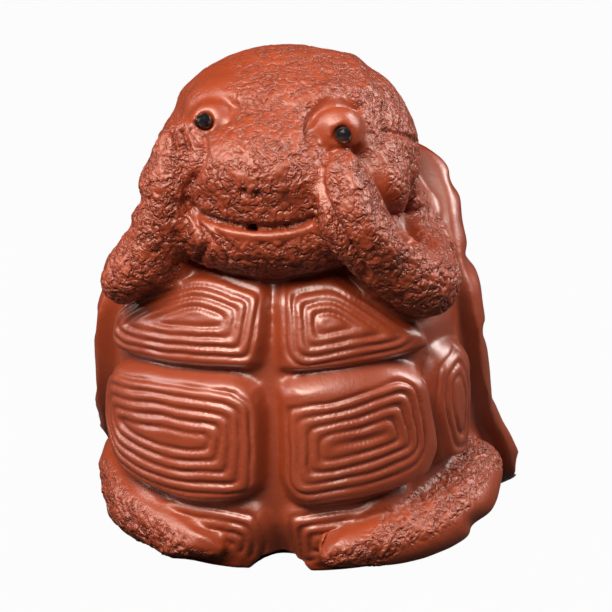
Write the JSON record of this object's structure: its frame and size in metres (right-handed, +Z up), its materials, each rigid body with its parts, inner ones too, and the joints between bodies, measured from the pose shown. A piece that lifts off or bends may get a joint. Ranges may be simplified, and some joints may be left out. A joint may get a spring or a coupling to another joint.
{
  "type": "tea pet",
  "caption": "Fired clay tea pet: a sitting turtle with wrinkled skin and ringed scutes, resting its cheeks on its paws, hollow with a vent in its base.",
  "frame": {"origin": "middle of the figure's bounding box, on the plane it stands on", "axes": "+Z up, the turtle looks along -Y, so its left paw is at +X"},
  "size_m": [0.068, 0.064, 0.0781],
  "materials": {
    "red_clay": "unglazed red stoneware with a satin burnish",
    "black_glaze": "glossy black"
  },
  "bodies": {
    "root": {"turtle_body": "red_clay", "left_eye_bead": "black_glaze", "right_eye_bead": "black_glaze"}
  },
  "joints": []
}
